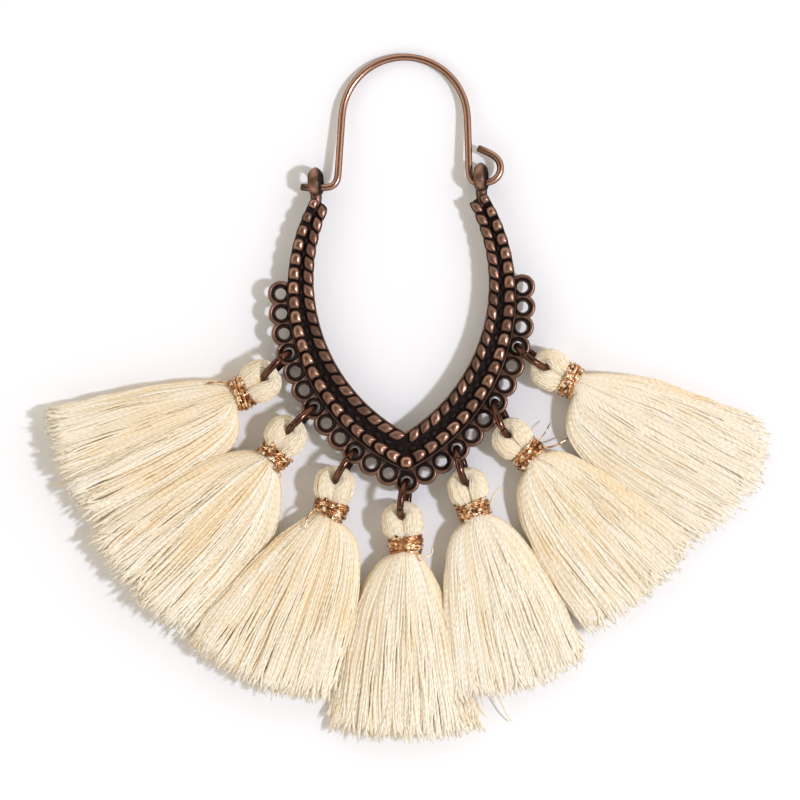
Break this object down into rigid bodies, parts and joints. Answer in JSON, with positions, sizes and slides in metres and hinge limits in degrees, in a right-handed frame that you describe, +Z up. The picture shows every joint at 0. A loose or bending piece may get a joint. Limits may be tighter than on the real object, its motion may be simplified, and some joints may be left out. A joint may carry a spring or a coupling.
{
  "type": "tassel earring",
  "caption": "Fan-shaped drop earring: teardrop copper frame with rope, bead and scallop relief, hinged ear hook, and cotton tassels on jump rings.",
  "frame": {"origin": "middle of the whole earring on the surface that it lies on", "axes": "+X across the fan of tassels, +Y from the tassels to the ear hook, +Z up from the surface"},
  "size_m": [0.0812, 0.0782, 0.005],
  "materials": {
    "antique_copper": "antique copper plate, rubbed bright on the raised relief and blackened in the recesses",
    "hook_copper": "satin antique copper wire",
    "dark_copper": "dark oxidised copper wire",
    "cotton": "cream cotton thread in loose locks",
    "metallic_thread": "wound copper-gold metallic thread"
  },
  "bodies": {
    "earring": {"frame": "antique_copper", "jump_ring_1": "dark_copper", "jump_ring_2": "dark_copper", "jump_ring_3": "dark_copper", "jump_ring_4": "dark_copper", "jump_ring_5": "dark_copper", "jump_ring_6": "dark_copper", "jump_ring_7": "dark_copper", "tassel_1": "cotton", "tassel_2": "cotton", "tassel_3": "cotton", "tassel_4": "cotton", "tassel_5": "cotton", "tassel_6": "cotton", "tassel_7": "cotton", "binding_1": "metallic_thread", "binding_2": "metallic_thread", "binding_3": "metallic_thread", "binding_4": "metallic_thread", "binding_5": "metallic_thread", "binding_6": "metallic_thread", "binding_7": "metallic_thread"},
    "hook": {"ear_hook": "hook_copper"}
  },
  "joints": [
    {"name": "hook_swing", "type": "hinge", "parent": "earring", "child": "hook", "pos_m": [0.00036, 0.02412, 0.0017], "axis": [1, 0, 0], "range_deg": [-140, 140]}
  ]
}
